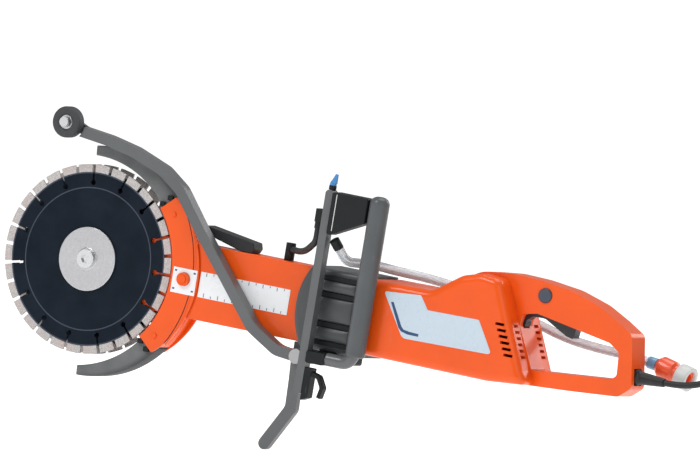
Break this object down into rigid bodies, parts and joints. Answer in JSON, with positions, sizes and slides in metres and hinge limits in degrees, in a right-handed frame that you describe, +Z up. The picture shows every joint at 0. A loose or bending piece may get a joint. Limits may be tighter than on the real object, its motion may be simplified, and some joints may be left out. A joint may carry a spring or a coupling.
{
  "type": "electric cut-off saw",
  "caption": "Long-bodied electric concrete saw with paired diamond blades on a thin belt arm, sprung guide roller, water kit, front frame handle and rear D grip.",
  "frame": {"origin": "middle of the footprint at the lowest point, the toe of the guide lever, measured without the power cable", "axes": "+X rearward along the saw towards the rear grip, +Z up, -Y the saw's left side, which carries the guide lever"},
  "size_m": [1.0565, 0.1966, 0.3599],
  "materials": {
    "orange_shell": "moulded orange plastic",
    "orange_metal": "satin orange paint",
    "orange_bolt": "orange painted steel",
    "grey_rubber": "grey moulded rubber",
    "lever_grey": "grey painted steel",
    "roller_rubber": "black rubber",
    "grip_rubber": "ribbed dark grey rubber",
    "case_black": "black moulded plastic",
    "case_grey": "dark grey cast metal",
    "tube_steel": "grey painted tube",
    "blade_steel": "navy coated steel",
    "segment_grit": "sintered diamond grit",
    "flange_metal": "turned aluminium",
    "bright_steel": "machined steel",
    "screw_steel": "zinc plated steel",
    "belt_rubber": "ribbed belt rubber",
    "copper_winding": "varnished copper and laminations",
    "label_white": "printed label film",
    "label_blue": "printed pale blue label film",
    "trigger_black": "black plastic",
    "button_slate": "slate plastic",
    "knob_blue": "blue plastic",
    "collar_blue": "blue plastic",
    "hose_clear": "clear reinforced hose",
    "hose_black": "black hose rubber",
    "connector_red": "orange-red plastic",
    "connector_grey": "light grey plastic",
    "cable_black": "black cable rubber"
  },
  "bodies": {
    "frame": {"arm_left_half": "orange_metal", "arm_right_half": "orange_metal", "guard_plate_left": "orange_metal", "guard_plate_right": "orange_metal", "guard_bolts": "orange_bolt", "upper_splash_guard": "grey_rubber", "lower_splash_guard": "grey_rubber", "scale_label": "label_white", "arm_top_flap": "hose_black", "drive_bearings": "bright_steel", "drive_belt": "belt_rubber", "gear_case_left": "case_grey", "gear_case_right": "case_grey", "gear_cover": "case_black", "body_shell_left": "orange_shell", "body_shell_right": "orange_shell", "side_label": "label_blue", "shell_screws": "screw_steel", "motor_stator": "copper_winding", "motor_brushes": "case_black", "switch_unit": "case_black", "handle_front_leg": "tube_steel", "handle_tube": "tube_steel", "handle_sleeve": "grip_rubber", "handle_block": "case_black", "handle_lower_bar": "case_black", "lever_bracket": "case_grey", "lever_pivot_bolt": "screw_steel", "lever_clip": "case_black", "tap_body": "case_black", "feed_hose": "hose_black", "feed_nozzle": "case_black", "hose_joint": "case_black", "supply_hose": "hose_clear", "hose_collar": "collar_blue", "connector_body": "connector_red", "strain_relief": "cable_black", "power_cable": "cable_black", "cable_plug": "cable_black", "plug_pins": "bright_steel"},
    "blades": {"hub_pulley": "bright_steel", "blade_core_near": "blade_steel", "blade_core_far": "blade_steel", "blade_segments": "segment_grit", "hub_flanges": "flange_metal", "hub_screws": "bright_steel"},
    "drive_shaft": {"drive_pulley": "bright_steel", "bevel_gear": "bright_steel"},
    "rotor": {"rotor_core": "copper_winding", "rotor_shaft": "bright_steel", "cooling_fan": "case_black", "bevel_pinion": "bright_steel"},
    "lever": {"guide_lever": "lever_grey", "roller_axle": "bright_steel"},
    "roller": {"roller_tyre": "roller_rubber", "roller_hub": "flange_metal"},
    "trigger": {"trigger": "trigger_black"},
    "lock_button": {"lock_button": "button_slate"},
    "tap_knob": {"tap_knob": "knob_blue"},
    "connector_sleeve": {"connector_sleeve": "connector_grey"}
  },
  "joints": [
    {"name": "blade_spin", "type": "hinge", "parent": "frame", "child": "blades", "pos_m": [-0.34982, 0.00399, 0.1805], "axis": [0, 1, 0], "continuous": true},
    {"name": "drive_spin", "type": "hinge", "parent": "frame", "child": "drive_shaft", "pos_m": [-0.00382, 0.00399, 0.1805], "axis": [0, 1, 0], "continuous": true},
    {"name": "rotor_spin", "type": "hinge", "parent": "frame", "child": "rotor", "pos_m": [0.09018, -0.00001, 0.1805], "axis": [1, 0, 0], "continuous": true},
    {"name": "lever_swing", "type": "hinge", "parent": "frame", "child": "lever", "pos_m": [-0.03282, -0.02301, 0.1185], "axis": [0, 1, 0], "range_deg": [0, 25], "stiffness_Nm_per_rad": 6, "springref_deg": -34.38},
    {"name": "roller_spin", "type": "hinge", "parent": "lever", "child": "roller", "pos_m": [-0.39242, -0.03401, 0.3409], "axis": [0, 1, 0], "continuous": true},
    {"name": "trigger_pull", "type": "hinge", "parent": "frame", "child": "trigger", "pos_m": [0.25418, 0.00399, 0.2265], "axis": [0, -1, 0], "range_deg": [0, 6], "stiffness_Nm_per_rad": 1.5, "springref_deg": -11.46},
    {"name": "lock_press", "type": "slide", "parent": "frame", "child": "lock_button", "axis": [0, 1, 0], "range_m": [0, 0.003], "stiffness_N_per_m": 400, "springref_m": -0.002},
    {"name": "tap_turn", "type": "hinge", "parent": "frame", "child": "tap_knob", "pos_m": [-0.00932, -0.05601, 0.3305], "axis": [0, 0, 1], "range_deg": [0, 90]},
    {"name": "sleeve_pull", "type": "slide", "parent": "frame", "child": "connector_sleeve", "axis": [-0.9778, 0.0602, 0.2006], "range_m": [0, 0.004], "stiffness_N_per_m": 500, "springref_m": -0.003}
  ],
  "couplings": [
    {"joint": "drive_spin", "follows": "blade_spin", "ratio": 1.4},
    {"joint": "rotor_spin", "follows": "blade_spin", "ratio": 3}
  ]
}
